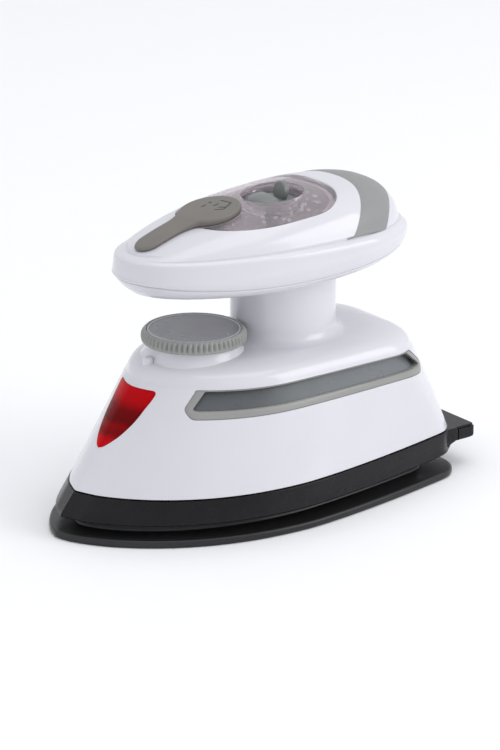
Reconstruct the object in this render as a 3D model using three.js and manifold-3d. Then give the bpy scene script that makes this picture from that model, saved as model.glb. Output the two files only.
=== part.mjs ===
// Small travel steam iron as separate pieces. Millimetres, +Z up, nose toward -Y, soleplate on z = 0.
import * as THREE from "three";
import { mergeVertices } from "three/addons/utils/BufferGeometryUtils.js";
import Module from "manifold-3d";

const wasm = await Module();
wasm.setup();

// ---- driving dimensions -------------------------------------------------------------------
const GAP = 0.3; // clearance kept between neighbouring pieces
const SOLE = { nose: -73.2, rear: 72, half: 41.5, rim: 2.6, block: 7.4 };
const SKIRT = { nose: -71, rear: 73.3, half: 39.4, low: 6.7, high: 14.3, flare: 1.5 };
const HEEL = { root: 60, half: 24, tipHalf: 22.6, rear: 82 };
const BODY = { nose: -65.6, rear: 73.5, half: 37.7, low: 14.6, high: 50, deck: 54, wall: 2.2 };
const LEAN = { nose: 25.3, rear: 16, half: 8.1 }; // how far the body draws in from its foot to BODY.high
const DIAL = { y: -18.3, r: 17.4, low: 57.2, high: 61.4, teeth: 30 };
const NECK = { y: 17.6, halfX: 17, halfY: 17.8, top: 73.6, wall: 2.8 };
const HANDLE = { front: -46.8, rear: 61.4, half: 29, wide: 18, low: 76.7, part: 80.5, ridge: 89.4 };
const WINDOW = { front: -20.5, rear: 31.3, half: 21.2, wide: 14, fore: 0.77, aft: 0.77, t: 2 };
const CAP = { y: -12, r: 10.4, tail: -40.4, tailHalf: 4.6, lift: 1.9 };
const BAND = { x: 26.6, y: 22, reach: 17.6, edgeX: 25.2, edgeY: 30, edgeReach: 24.2 };
const KNOB = { y: 13, r: 10.2, floor: 95.6 };
const STRIP = { front: -35.6, rear: 57.5, low: 38.4, high: 47, band: 2.5 };
const ELEMENT = { x: 20, turn: -28, rear: 55, r: 3.3, z: 6.2 };
const CORD = { z: 30, bore: 2.6 };
const SCREWS = [["front", 0, -56], ["rear_right", 10, 60], ["rear_left", -10, 60]];

// ---- solid helpers ------------------------------------------------------------------------
function solid(geometry) {
  let g = geometry.clone();
  g.deleteAttribute("normal");
  g.deleteAttribute("uv");
  g = mergeVertices(g, 1e-4);
  const mesh = new wasm.Mesh({
    numProp: 3,
    vertProperties: new Float32Array(g.attributes.position.array),
    triVerts: new Uint32Array(g.index.array),
  });
  return new wasm.Manifold(mesh);
}

function surface(manifold) {
  const m = manifold.getMesh();
  const g = new THREE.BufferGeometry();
  g.setAttribute("position", new THREE.BufferAttribute(new Float32Array(m.vertProperties), 3));
  g.setIndex(new THREE.BufferAttribute(new Uint32Array(m.triVerts), 1));
  return g;
}

const all = (...list) => list.map((g) => (g.isBufferGeometry ? solid(g) : g));
const join = (...list) => all(...list).reduce((a, b) => a.add(b));
const cut = (first, ...rest) => all(first, ...rest).reduce((a, b) => a.subtract(b));
const common = (...list) => all(...list).reduce((a, b) => a.intersect(b));

// Closed solid through rings of [x, y, z] stacked upward, each ring counter-clockwise from above.
function loft(rings) {
  const n = rings[0].length;
  const points = rings.flat();
  const index = [];
  for (let k = 0; k + 1 < rings.length; k++) {
    for (let i = 0; i < n; i++) {
      const a = k * n + i;
      const b = k * n + ((i + 1) % n);
      index.push(a, b, b + n, a, b + n, a + n);
    }
  }
  for (const [ring, start, up] of [[rings[0], 0, false], [rings.at(-1), points.length - n, true]]) {
    const centre = [0, 1, 2].map((c) => ring.reduce((s, p) => s + p[c], 0) / n);
    points.push(centre);
    for (let i = 0; i < n; i++) {
      const a = start + i;
      const b = start + ((i + 1) % n);
      index.push(points.length - 1, up ? a : b, up ? b : a);
    }
  }
  const g = new THREE.BufferGeometry();
  g.setAttribute("position", new THREE.Float32BufferAttribute(points.flat(), 3));
  g.setIndex(index);
  return g;
}

const level = (outline, z) => outline.map(([x, y]) => [x, y, z]);
const prism = (outline, z0, z1) => loft([level(outline, z0), level(outline, z1)]);

function rod(x, y, r, z0, z1, sides = 16, rTop = r) {
  const g = new THREE.CylinderGeometry(rTop, r, z1 - z0, sides);
  g.rotateX(Math.PI / 2);
  g.translate(x, y, (z0 + z1) / 2);
  return g;
}

function block(x0, x1, y0, y1, z0, z1) {
  const g = new THREE.BoxGeometry(x1 - x0, y1 - y0, z1 - z0);
  g.translate((x0 + x1) / 2, (y0 + y1) / 2, (z0 + z1) / 2);
  return g;
}

// Lathe about a vertical axis at (x, y); profile is a list of [radius, z] from bottom to top.
function turned(profile, x, y, sides = 20) {
  const g = new THREE.LatheGeometry(profile.map(([r, z]) => new THREE.Vector2(r, z)), sides);
  g.rotateX(Math.PI / 2);
  g.translate(x, y, 0);
  return g;
}

// Flat outline extruded along +Z, for outlines that are not star shaped.
function extruded(outline, z0, z1) {
  const shape = new THREE.Shape(outline.map(([x, y]) => new THREE.Vector2(x, y)));
  const g = new THREE.ExtrudeGeometry(shape, { depth: z1 - z0, bevelEnabled: false });
  g.translate(0, 0, z0);
  return g;
}

function tube(points, r, sides = 10, steps = 40) {
  const path = new THREE.CatmullRomCurve3(points.map((p) => new THREE.Vector3(...p)));
  const shape = new THREE.Shape();
  shape.absarc(0, 0, r, 0, Math.PI * 2, false);
  return new THREE.ExtrudeGeometry(shape, {
    steps,
    curveSegments: sides,
    bevelEnabled: false,
    extrudePath: path,
  });
}

// ---- outlines -----------------------------------------------------------------------------
// Iron outline: blunt pointed nose, widest just ahead of the middle, narrowing to a rounded rear.
// rise runs from 0 at the foot, where the rear narrows most, to 1 at the top of the body.
function ironPlan(nose, rear, half, rise = 0) {
  const widest = -1;
  const corner = 8 + 9 * rise;
  const right = [];
  for (let i = 0; i <= 7; i++) {
    const t = (i / 7) ** 2;
    const x = half * (1 - (1 - t) ** (2.3 - 0.3 * rise)) ** (0.7 - 0.1 * rise);
    right.push([x, nose + (widest - nose) * t]);
  }
  const flank = (y) => half * (1 - (0.39 - 0.33 * rise) * ((y - widest) / (rear - widest)) ** 1.4);
  for (const share of [0.3, 0.55, 0.8]) {
    const y = widest + (rear - corner - widest) * share;
    right.push([flank(y), y]);
  }
  for (let i = 0; i <= 4; i++) {
    const a = (i / 4) * (Math.PI / 2);
    const y = rear - corner + corner * Math.sin(a);
    right.push([flank(y) - corner * (1 - Math.cos(a)), y]);
  }
  right.push([0, rear]);
  return right.concat(right.slice(1, -1).reverse().map(([x, y]) => [-x, y]));
}

// Egg outline between front and rear, widest at y = wide; inset moves it inward all round.
// Lower powers (fore, aft) make that end squarer.
function eggPlan({ front, rear, half, wide, fore = 0.95, aft = 0.86 }, inset = 0, n = 28) {
  return Array.from({ length: n }, (_, i) => {
    const a = (i / n) * Math.PI * 2;
    const s = Math.sin(a);
    const c = -Math.cos(a);
    const reach = c < 0 ? wide - front - inset : rear - wide - inset;
    const power = c < 0 ? fore : aft;
    const x = Math.sign(s) * (half - inset) * Math.abs(s) ** power;
    return [x, wide + Math.sign(c) * reach * Math.abs(c) ** power];
  });
}

const arc = (cx, cy, r, a0, a1, n) =>
  Array.from({ length: n + 1 }, (_, i) => {
    const a = ((a0 + ((a1 - a0) * i) / n) * Math.PI) / 180;
    return [cx + r * Math.cos(a), cy + r * Math.sin(a)];
  });

// ---- base ---------------------------------------------------------------------------------
const pieces = [];
const piece = (name, shape, colour, roughness, metalness = 0) => {
  const geometry = shape.isBufferGeometry ? shape : surface(shape);
  geometry.computeVertexNormals();
  const material = new THREE.MeshStandardMaterial({ color: colour, roughness, metalness });
  const mesh = new THREE.Mesh(geometry, material);
  mesh.name = name;
  pieces.push(mesh);
};

const soleBlock = ironPlan(SOLE.nose + 10.5, SOLE.rear - 7, SOLE.half - 8);
const chamber = { front: -38, rear: 40, half: 12, wide: 10 };
const elementPath = [
  [ELEMENT.x, ELEMENT.rear],
  [ELEMENT.x, ELEMENT.rear * 0.5],
  ...arc(0, ELEMENT.turn, ELEMENT.x, 0, -180, 8),
  [-ELEMENT.x, ELEMENT.rear * 0.5],
  [-ELEMENT.x, ELEMENT.rear],
].map(([x, y]) => [x, y, ELEMENT.z]);
const channelPath = elementPath.map(([x, y, z]) => [x, y === ELEMENT.rear ? y + 15 : y, z]);

let sole = join(
  loft([
    level(ironPlan(SOLE.nose + 0.5, SOLE.rear - 0.5, SOLE.half - 0.5, 0.2), 0),
    level(ironPlan(SOLE.nose, SOLE.rear, SOLE.half, 0.2), 0.5),
    level(ironPlan(SOLE.nose, SOLE.rear, SOLE.half, 0.2), SOLE.rim - 0.8),
    level(ironPlan(SOLE.nose + 1, SOLE.rear - 1, SOLE.half - 1, 0.2), SOLE.rim),
  ]),
  prism(soleBlock, 1, SOLE.block),
);
sole = join(sole, prism(eggPlan(chamber, -2.6), 3, 9.6));
for (const [, x, y] of SCREWS) {
  sole = join(sole, rod(x, y, 3.2, 3, 11.8));
}
sole = cut(sole, prism(eggPlan(chamber), 4.4, 12), tube(channelPath, ELEMENT.r + 1, 4, 26));
sole = cut(sole, tube(channelPath.map(([x, y, z]) => [x, y, z + 3]), ELEMENT.r + 1, 4, 26));
for (const [, x, y] of SCREWS) {
  sole = cut(sole, rod(x, y, 1.9, 4.5, 13, 12));
}
for (let i = 0; i < 7; i++) {
  const y = -30 + i * 10;
  const spread = 3 + 5 * Math.sin((Math.PI * (i + 0.6)) / 7);
  sole = cut(sole, rod(spread, y, 1.3, -1, 5, 8), rod(-spread, y, 1.3, -1, 5, 8));
}
piece("soleplate", sole, 0x2a2a2c, 0.4, 0.6);

piece("heating_element", tube(elementPath, ELEMENT.r, 5, 26), 0x8f8f92, 0.4, 0.9);
for (const [side, sx] of [["right", 1], ["left", -1]]) {
  const pin = new THREE.CylinderGeometry(1.2, 1.2, 5.4, 12);
  pin.translate(sx * ELEMENT.x, ELEMENT.rear + 3, ELEMENT.z);
  piece(`element_pin_${side}`, pin, 0xb8b8b8, 0.35, 1);
}

piece("chamber_gasket", cut(prism(eggPlan(chamber, -2.2), 9.9, 10.7), prism(eggPlan(chamber, -0.2), 9, 11)),
  0xb4482f, 0.7);
piece("steam_chamber_cover",
  cut(prism(eggPlan(chamber, -2.4), 11, 12), rod(0, KNOB.y, 3.4, 10, 13)), 0xb5b7ba, 0.4, 0.9);

const thermostat = cut(
  join(block(-8, 8, -27, -11, 12.3, 14.3), block(-6, 6, -25, -13, 13.8, 23)),
  rod(0, DIAL.y, 2, 20, 24, 16),
);
piece("thermostat", thermostat, 0xc9b48a, 0.5, 0.4);
const fuse = new THREE.CylinderGeometry(2.6, 2.6, 16, 16);
fuse.translate(0, 32, 15.2);
piece("thermal_fuse", fuse, 0xe6e2d6, 0.6);

// ---- skirt with the heel ------------------------------------------------------------------
const skirtOuter = loft([
  level(ironPlan(SKIRT.nose, SKIRT.rear, SKIRT.half), SKIRT.low),
  level(ironPlan(SKIRT.nose + 0.6, SKIRT.rear - 0.4, SKIRT.half - 0.4), SKIRT.low + 1.6),
  level(ironPlan(SKIRT.nose + 5, SKIRT.rear + 0.6, SKIRT.half - SKIRT.flare), SKIRT.high),
]);
const heelPlan = (inset) => [
  [HEEL.half - inset, HEEL.root],
  [HEEL.half - inset, 70],
  [HEEL.tipHalf - inset, HEEL.rear - inset],
  [-HEEL.tipHalf + inset, HEEL.rear - inset],
  [-HEEL.half + inset, 70],
  [-HEEL.half + inset, HEEL.root],
];
const heel = loft([
  level(heelPlan(4.5), SKIRT.low),
  level(heelPlan(0), 9.8),
  level(heelPlan(0), SKIRT.high - 0.4),
  level(heelPlan(0.4), SKIRT.high),
]);
let skirt = cut(
  join(skirtOuter, heel),
  prism(ironPlan(SKIRT.nose + 7, SKIRT.rear - 4, SKIRT.half - 4), SKIRT.low - 2, 12.2),
  prism(ironPlan(SKIRT.nose + 20, SKIRT.rear - 21, SKIRT.half - 14), 11, 16),
);
for (const [, x, y] of SCREWS) {
  skirt = cut(skirt, rod(x, y, 2.2, 11, 16, 16));
}
piece("heat_skirt", skirt, 0x17171a, 0.25);

// ---- body shell ---------------------------------------------------------------------------
function bodyPlan(z, inset = 0) {
  const f = (z - BODY.low) / (BODY.high - BODY.low);
  const nose = BODY.nose + LEAN.nose * f;
  const rear = BODY.rear - LEAN.rear * f;
  const half = BODY.half - LEAN.half * f;
  return level(ironPlan(nose + inset * 1.1, rear - inset, half - inset, f), z);
}
function bodySolid(inset, bottom = BODY.low) {
  const drop = inset;
  return loft([
    bodyPlan(bottom, inset),
    bodyPlan(32, inset),
    bodyPlan(47.2 - drop, inset),
    ...[[50, 1], [52, 3.2], [53.3, 7], [BODY.deck, 13]].map(([z, more]) =>
      bodyPlan(48, inset + more).map(([x, y]) => [x, y, z - drop])),
  ]);
}
const oval = (grow, z) =>
  Array.from({ length: 20 }, (_, i) => {
    const a = (i / 20) * Math.PI * 2;
    return [(NECK.halfX + grow) * Math.cos(a), NECK.y + (NECK.halfY + grow) * Math.sin(a), z];
  });
// A region drawn on the side (y, z), swept right across the body or over its right half only.
function sideRegion(outline, from = -60) {
  const g = extruded(outline, from, 60);
  return g.applyMatrix4(new THREE.Matrix4().makeBasis(
    new THREE.Vector3(0, 1, 0), new THREE.Vector3(0, 0, 1), new THREE.Vector3(1, 0, 0)));
}
// Mirror image of a piece across the middle plane.
function flipped(shape) {
  const g = surface(shape);
  g.scale(-1, 1, 1);
  g.index.array.reverse();
  return g;
}
const stripOutline = (inset) => [
  [STRIP.front + 1.2 + inset, STRIP.low + inset],
  [STRIP.rear - 1.5 - inset, STRIP.low + inset],
  [STRIP.rear - inset, STRIP.low + 3],
  [STRIP.rear - 7 - inset, STRIP.high - Math.min(inset, GAP)],
  [STRIP.front + 4.5 + inset, STRIP.high - Math.min(inset, GAP)],
  [STRIP.front + inset, STRIP.low + 3],
];
// Shield outline on the nose (x, z), swept across the front.
function noseRegion(inset) {
  const right = [
    [2.6 - inset, 28.4 + inset],
    [6 - inset, 31.5 + inset * 0.5],
    [8.4 - inset, 36.2],
    [9.6 - inset, 41.4],
    [9.9 - inset, 46.1 - inset],
  ];
  const outline = [
    [0, 27.5 + inset * 1.5],
    ...right,
    ...right.reverse().map(([x, z]) => [-x, z]),
  ];
  const g = extruded(outline, 0, 60);
  g.rotateX(Math.PI / 2);
  g.translate(0, -20, 0);
  return g;
}
const bodyWall = () => cut(bodySolid(0), bodySolid(BODY.wall, BODY.low - 4));
let body = join(
  bodySolid(0),
  loft([oval(5, 51), oval(1.8, 55), oval(0.3, 57.2), oval(0, 59.4), oval(0, NECK.top)]),
  turned([[0, 49.6], [14.6, 49.6], [14.6, 53.2], [14, 54], [14, 56.8], [0, 56.8]], 0, DIAL.y),
  turned([[0, 49], [2.2, 49], [2.1, 53.2], [1.2, 54.4], [0, 54.7]], 0, -37.2, 16),
);
body = cut(
  body,
  bodySolid(BODY.wall, BODY.low - 4),
  loft([oval(-NECK.wall, 46), oval(-NECK.wall, NECK.top + 2)]),
  rod(0, DIAL.y, 4, 40, 60),
);
const posts = [NECK.y - 12.2, NECK.y + 12.2];
for (const y of posts) {
  const neckBore = loft([oval(-1, 56), oval(-1, NECK.top)]);
  body = join(body, common(block(-3.2, 3.2, y - 4, y + 3, 56, NECK.top), neckBore));
  body = cut(body, rod(0, y, 1.5, 62, 80, 12));
}
body = cut(body, sideRegion(stripOutline(0)), noseRegion(0));
// Square to the sloping rear wall, for the cord opening.
function onRearWall(geometry) {
  const slope = LEAN.rear / (BODY.high - BODY.low);
  geometry.rotateX(Math.atan(slope) - Math.PI / 2);
  return geometry.translate(0, BODY.rear - slope * (CORD.z - BODY.low), CORD.z);
}
body = cut(body, onRearWall(rod(0, 0, 4.6, -8, 8, 20)));
piece("body_shell", body, 0xf1f1f4, 0.25);

const paneOutline = (inset, top) =>
  stripOutline(STRIP.band + inset).map(([y, z], i) => [y, i === 3 || i === 4 ? top : z]);
const frame = common(bodyWall(), cut(
  sideRegion(stripOutline(GAP), 0),
  sideRegion(paneOutline(0, STRIP.high + 2)),
));
piece("side_trim_right", frame, 0xa9aaa8, 0.35);
piece("side_trim_left", flipped(frame), 0xa9aaa8, 0.35);
const strip = common(
  cut(bodySolid(0.8), bodySolid(BODY.wall, BODY.low - 4)),
  sideRegion(paneOutline(GAP, STRIP.high - GAP), 0),
);
piece("side_window_right", strip, 0x8d979c, 0.15);
piece("side_window_left", flipped(strip), 0x8d979c, 0.15);
piece("pilot_lens", common(bodyWall(), noseRegion(GAP)), 0xc4141c, 0.12);
const lamp = turned([[0, 30], [2.6, 30], [2.6, 39], [1.4, 41], [0, 41.6]], 0, -36, 16);
piece("pilot_lamp", lamp, 0xe8b48c, 0.2);

const gland = surface(cut(
  turned([[0, -5], [4.2, -5], [4.2, GAP], [6.4, GAP], [6.4, 2], [5.6, 2.8], [0, 2.8]], 0, 0, 24),
  rod(0, 0, CORD.bore, -7, 4),
));
piece("cord_gland", onRearWall(gland), 0x1b1b1d, 0.6);

// ---- inside the base ----------------------------------------------------------------------
let shield = cut(
  prism(bodyPlan(15, 3.2), 14.7, 15.5),
  block(-9, 9, -28, -10, 14, 17),
  rod(0, KNOB.y, 4, 14, 17),
  block(-4, 4, 23, 41, 14, 17),
);
for (const [, x, y] of SCREWS) {
  shield = cut(shield, rod(x, y, 2.2, 14, 17, 16));
}
piece("heat_shield", shield, 0xb9bbbe, 0.35, 0.9);
for (const [name, x, y] of SCREWS) {
  const profile = [[0, 7], [1.5, 7], [1.5, 15.8], [2.9, 15.8], [2.9, 17], [2.1, 17.8], [0, 17.8]];
  piece(`sole_screw_${name}`, turned(profile, x, y, 16), 0xa8aaad, 0.35, 1);
}
piece("terminal_block", cut(
  block(-12, 12, 46, 54, 15.8, 24),
  rod(-8, 50, 1.6, 20, 26, 12), rod(0, 50, 1.6, 20, 26, 12), rod(8, 50, 1.6, 20, 26, 12),
), 0xe9e6dc, 0.6);
const shaft = [[0, 20.4], [1.6, 20.4], [1.6, 23.4], [3, 23.4], [3, 59.4], [0, 59.4]];
piece("thermostat_shaft", turned(shaft, 0, DIAL.y, 20), 0xb9bbbe, 0.35, 0.9);

// ---- dial ---------------------------------------------------------------------------------
const knurl = Array.from({ length: DIAL.teeth * 2 }, (_, i) => {
  const a = (i / (DIAL.teeth * 2)) * Math.PI * 2;
  const r = i % 2 ? DIAL.r : DIAL.r - 0.7;
  return [r * Math.sin(a), DIAL.y - r * Math.cos(a)];
});
const dialTop = [
  [0, 59],
  [DIAL.r - 0.9, 59],
  [DIAL.r - 0.9, DIAL.high - 0.6],
  [DIAL.r - 1.6, DIAL.high],
  [0, DIAL.high],
];
const dial = cut(
  join(prism(knurl, DIAL.low, DIAL.high - 0.8), turned(dialTop, 0, DIAL.y, 30)),
  rod(0, DIAL.y, 14.6, DIAL.high - 0.9, DIAL.high + 2, 36),
  cut(rod(0, DIAL.y, 15, DIAL.low - 1, DIAL.low + 2, 30), rod(0, DIAL.y, 5.4, 50, 60)),
  rod(0, DIAL.y, 3.3, 50, 59.7),
);
piece("temperature_dial", dial, 0x8d8f90, 0.45);
piece("dial_face", rod(0, DIAL.y, 14.3, DIAL.high - 0.6, DIAL.high - 0.1, 36), 0x6e7072, 0.4);

// ---- handle -------------------------------------------------------------------------------
const crest = (y) => 103.2 - 14.5 * (Math.max(0, 50 - y) / 98) ** 2.5;
const pitch = (y) => 0.043 * (y - 44);
const sag = (y) => 5.5 * (Math.abs(y - 15) / 62) ** 2 + pitch(y);
const handleRing = (inset, height) => eggPlan(HANDLE, inset).map(([x, y]) => [x, y, height(y)]);
// Upper form of the handle; lift moves its top surface up, inset moves its sides inward.
function upperForm(lift = 0, inset = 0) {
  const rise = (f) => (y) => HANDLE.ridge + 0.3 + (crest(y) - HANDLE.ridge - 0.3) * f + lift;
  return loft([
    handleRing(1 + inset, (y) => HANDLE.part + GAP + sag(y)),
    handleRing(inset, (y) => 84.4 + 0.5 * (sag(y) + pitch(y))),
    handleRing(0.5 + inset, () => 87.6),
    handleRing(2 + inset, () => HANDLE.ridge + Math.min(lift, 0)),
    handleRing(2.8 + inset, () => HANDLE.ridge + 0.3 + lift),
    ...[[4.2, 0.34], [6.5, 0.62], [9, 0.78], [13, 0.91], [19, 0.985]].map(([more, f]) =>
      handleRing(more + inset, rise(f))),
  ]);
}
const lowerForm = (inset, floor, top) => loft([
  handleRing(13 + inset, (y) => HANDLE.low + 0.5 * (sag(y) + pitch(y)) + floor),
  handleRing(5 + inset, (y) => HANDLE.low + 0.9 + 0.8 * sag(y) + 0.2 * pitch(y) + floor),
  handleRing(1.2 + inset, (y) => HANDLE.part + sag(y) + top),
]);
let lower = cut(lowerForm(0, 0, 0), lowerForm(2, 2, 3));
lower = join(lower, loft([oval(0, NECK.top + GAP), oval(0, 78.2)]));
lower = cut(lower, rod(0, KNOB.y, 5.6, 70, 90), rod(0, 24, 2.6, 70, 90));
for (const y of posts) {
  lower = cut(lower, rod(0, y, 1.7, 70, 90, 12));
}
piece("handle_lower_shell", lower, 0xf1f1f4, 0.25);
for (const [name, y] of [["front", posts[0]], ["rear", posts[1]]]) {
  const profile = [[0, 66], [1.2, 66], [1.2, 79.2], [2.8, 79.2], [2.8, 80.2], [2, 80.9], [0, 80.9]];
  piece(`handle_screw_${name}`, turned(profile, 0, y, 16), 0xa8aaad, 0.35, 1);
}

const windowHole = prism(eggPlan(WINDOW), 84, 120);
const innerUpper = () => {
  const form = upperForm(-WINDOW.t, WINDOW.t);
  return join(form, lowerForm(1, -3, 2));
};
piece("handle_upper_shell", cut(upperForm(), innerUpper(), windowHole), 0xf3f3f5, 0.22);

const pane = cut(
  common(upperForm(), prism(eggPlan(WINDOW, GAP), 90, 120)),
  upperForm(-WINDOW.t, 0),
  rod(0, CAP.y, 6.4, 80, 120, 28),
  rod(0, KNOB.y, KNOB.r + GAP, 80, 120, 32),
);
piece("tank_window", pane, 0x8a8288, 0.1);

const tankOutline = { ...WINDOW, front: WINDOW.front + 1, rear: WINDOW.rear - 1, half: WINDOW.half - 1 };
const tankTop = upperForm(-WINDOW.t - GAP, 0);
const tank = cut(
  common(prism(eggPlan(tankOutline), 84, 120), tankTop),
  prism(eggPlan(tankOutline, 1.5), 85.5, 120),
  rod(0, KNOB.y, 2, 80, 90, 16),
);
piece("water_tank", tank, 0xc9ccd0, 0.2);

// ---- filler -------------------------------------------------------------------------------
piece("filler_neck", cut(rod(0, CAP.y, 6, 91.5, 96.2, 28), rod(0, CAP.y, 5, 90, 100, 28)), 0x77777a, 0.5);
const capPlan = [
  ...arc(0, CAP.y, CAP.r, -62, 242, 30),
  [-CAP.tailHalf + 0.2, CAP.y - CAP.r - 3],
  ...arc(0, CAP.tail + CAP.tailHalf, CAP.tailHalf, 180, 360, 8),
  [CAP.tailHalf - 0.2, CAP.y - CAP.r - 3],
];
const cap = join(
  cut(common(upperForm(CAP.lift, -2.4), extruded(capPlan, 80, 120)), upperForm(GAP, 0)),
  rod(0, CAP.y, 4, 94.5, 99.4, 24, 4.3),
);
piece("filler_cap", cap, 0x736b63, 0.6);

// ---- steam valve --------------------------------------------------------------------------
const seatRim = crest(KNOB.y) - 1.4;
piece("steam_knob_seat", cut(
  rod(0, KNOB.y, KNOB.r, KNOB.floor, seatRim, 32),
  rod(0, KNOB.y, KNOB.r - 1, KNOB.floor + 1, seatRim + 2, 32),
  rod(0, KNOB.y, 3.1, 90, 110, 20),
), 0xa9aaad, 0.12);
const base = KNOB.floor + 1 + GAP;
const fin = new THREE.CylinderGeometry(3.4, 3.4, 2, 20);
fin.translate(0, KNOB.y + 3.6, 101.6);
const dome = new THREE.SphereGeometry(5, 20, 10);
dome.scale(1, 1, 0.7);
dome.translate(0, KNOB.y - 2, base + 2);
const grip = common(
  join(dome, fin, block(-1.2, 1.2, KNOB.y - 4, KNOB.y + 4.6, base + 0.5, 100)),
  block(-12, 12, 0, 30, base + 0.5, 120),
);
const knob = join(
  turned([[0, 91.8], [2.5, 91.8], [2.5, base], [8.4, base], [8.4, base + 1], [0, base + 1]], 0, KNOB.y, 28),
  grip,
);
piece("steam_knob", knob, 0x8b8d8f, 0.35);
const needle = [[0, 80.6], [1.1, 83], [1.1, 88.4], [2.6, 88.4], [2.6, 89.4], [0, 89.4]];
piece("valve_needle", turned(needle, 0, KNOB.y, 20), 0xc8b27a, 0.3, 1);
const coil = Array.from({ length: 37 }, (_, i) => {
  const a = (i / 12) * Math.PI * 2;
  return [2.1 * Math.cos(a), KNOB.y + 2.1 * Math.sin(a), 86 + (i / 36) * 1.9];
});
piece("valve_spring", tube(coil, 0.25, 2, 36), 0xc6c8ca, 0.3, 1);
piece("valve_seat", cut(
  turned([[0, 79.3], [3.2, 79.3], [3.2, 81], [5.2, 81], [5.2, 83.6], [0, 83.6]], 0, KNOB.y, 24),
  rod(0, KNOB.y, 1.5, 70, 90, 16),
), 0xd9d5c9, 0.5);
piece("water_tube", cut(rod(0, KNOB.y, 3, 12.6, 79, 16), rod(0, KNOB.y, 1.6, 10, 80, 12)), 0xe3e1da, 0.4);

// ---- rear accent --------------------------------------------------------------------------
// Half of a squared oval over the rear of the handle, from its right end to its left end.
const overRear = (x, y, reach, n) =>
  arc(0, 0, 1, 0, 180, n).map(([c, s]) => [x * Math.sign(c) * Math.abs(c) ** 0.82, y + reach * s ** 0.82]);
const accentPlan = [
  [BAND.x + 1, BAND.y],
  ...overRear(BAND.edgeX, BAND.edgeY, BAND.edgeReach, 16),
  [-BAND.x - 1, BAND.y],
  ...overRear(BAND.x, BAND.y, BAND.reach, 16).reverse(),
];
const accent = common(
  cut(upperForm(1, -0.9), upperForm(GAP, -GAP)),
  extruded(accentPlan, HANDLE.ridge + 1.2, 120),
);
piece("rear_accent_panel", accent, 0xa3a4a2, 0.25);

const iron = new THREE.Group();
iron.name = "travel_steam_iron";
pieces.forEach((mesh) => iron.add(mesh));
export default iron;
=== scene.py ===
"""Small travel steam iron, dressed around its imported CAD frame.

Lengths are millimetres in the frame's axes (+Z up, nose toward -Y); new_object() turns them into metres.
"""

import math
from types import SimpleNamespace as Dims

import bmesh
import bpy
import numpy as np
from mathutils import Matrix, Vector


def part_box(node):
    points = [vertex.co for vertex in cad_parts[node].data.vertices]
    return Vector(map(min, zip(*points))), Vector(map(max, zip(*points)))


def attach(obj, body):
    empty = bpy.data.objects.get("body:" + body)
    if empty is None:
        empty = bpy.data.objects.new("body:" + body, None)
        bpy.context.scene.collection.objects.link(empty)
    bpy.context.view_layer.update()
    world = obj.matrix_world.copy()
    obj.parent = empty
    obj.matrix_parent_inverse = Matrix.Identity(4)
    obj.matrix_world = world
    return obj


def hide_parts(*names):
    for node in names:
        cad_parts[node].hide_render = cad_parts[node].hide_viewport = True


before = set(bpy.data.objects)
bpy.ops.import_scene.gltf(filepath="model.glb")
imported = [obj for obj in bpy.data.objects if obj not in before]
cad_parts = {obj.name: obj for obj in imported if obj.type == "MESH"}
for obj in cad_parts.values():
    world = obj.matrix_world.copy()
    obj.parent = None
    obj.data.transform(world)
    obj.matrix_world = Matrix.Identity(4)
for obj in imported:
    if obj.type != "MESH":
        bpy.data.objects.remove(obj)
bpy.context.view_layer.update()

MM = 0.001
RING = 300  # points round a large outline


def span(node):
    """Lowest and highest corner of a CAD node, in millimetres."""
    low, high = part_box(node)
    return np.array(low) / MM, np.array(high) / MM


# ---- driving dimensions, from the frame where it has them ----
sole_low, sole_high = span("soleplate")
SOLE = Dims(nose=sole_low[1], rear=sole_high[1], half=sole_high[0], rim=2.6, block=7.4, corner=8.5)
skirt_low, skirt_high = span("heat_skirt")
SKIRT = Dims(nose=skirt_low[1], rear=73.3, half=skirt_high[0], low=skirt_low[2], high=skirt_high[2],
             corner=8)
HEEL = Dims(root=60, half=24, tip_half=22.8, rear=skirt_high[1], crease=74.4)
body_low, body_high = span("body_shell")
BODY = Dims(nose=body_low[1], rear=body_high[1], half=body_high[0], low=body_low[2], high=50, deck=54,
            edge=48, wall=2.2)
LEAN = Dims(nose=25.3, rear=16, half=8.1)  # how far the body draws in from its foot to BODY.high
NECK = Dims(y=17.6, half_x=17, half_y=17.8, top=body_high[2], wall=2.8, fillet=3.4)
dial_low, dial_high = span("temperature_dial")
DIAL = Dims(y=(dial_low[1] + dial_high[1]) / 2, r=dial_high[0], low=dial_low[2] - 0.2, teeth=60, rise=1.14)
BOSS = Dims(r=15.3, foot=16.3, top=56.8)
NUB = Dims(y=-36.4, r=1.75, top=54.6)
handle_low, handle_high = span("handle_upper_shell")
HANDLE = Dims(front=handle_low[1], rear=handle_high[1], half=handle_high[0], wide=18, fore=0.95, aft=0.82,
              low=76.7, part=80.5, ledge=89.7, wall=2.0)
WINDOW = Dims(front=-20.5, rear=31.3, half=21.2, wide=14, fore=0.77, aft=0.77, t=2.0)
CAP = Dims(y=-12, r=10.4, tail=-40.4, tail_half=4.6, lift=1.9)
seat_low, seat_high = span("steam_knob_seat")
KNOB = Dims(y=13, r=seat_high[0], floor=seat_low[2], lobe=6.6, tab=3.3, top=105)
BAND = Dims(x=26.4, y=24.2, reach=15.4, edge_x=24.9, edge_y=37.3, edge_reach=16.9)
STRIP = Dims(front=-35.6, rear=57.5, low=38.4, high=47.3, band=2.5, depth=4.2)
LENS = Dims(low=27.5, top=46.1, half=9.95, middle=38)
CORD = Dims(z=30, bore=2.6)
SCREWS = ((0, -56), (10, 60), (-10, 60))
SEAM = 0.25  # width of a visible parting line
FLOOR = Dims(flat=2500, sweep=900)  # radius of the flat part and radius of the sweep round it
CAMERA = Dims(place=(0.96372, -0.68578, 0.44008), turn=54.4, dip=18.635, lens=181.48)  # metres, degrees, mm


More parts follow.
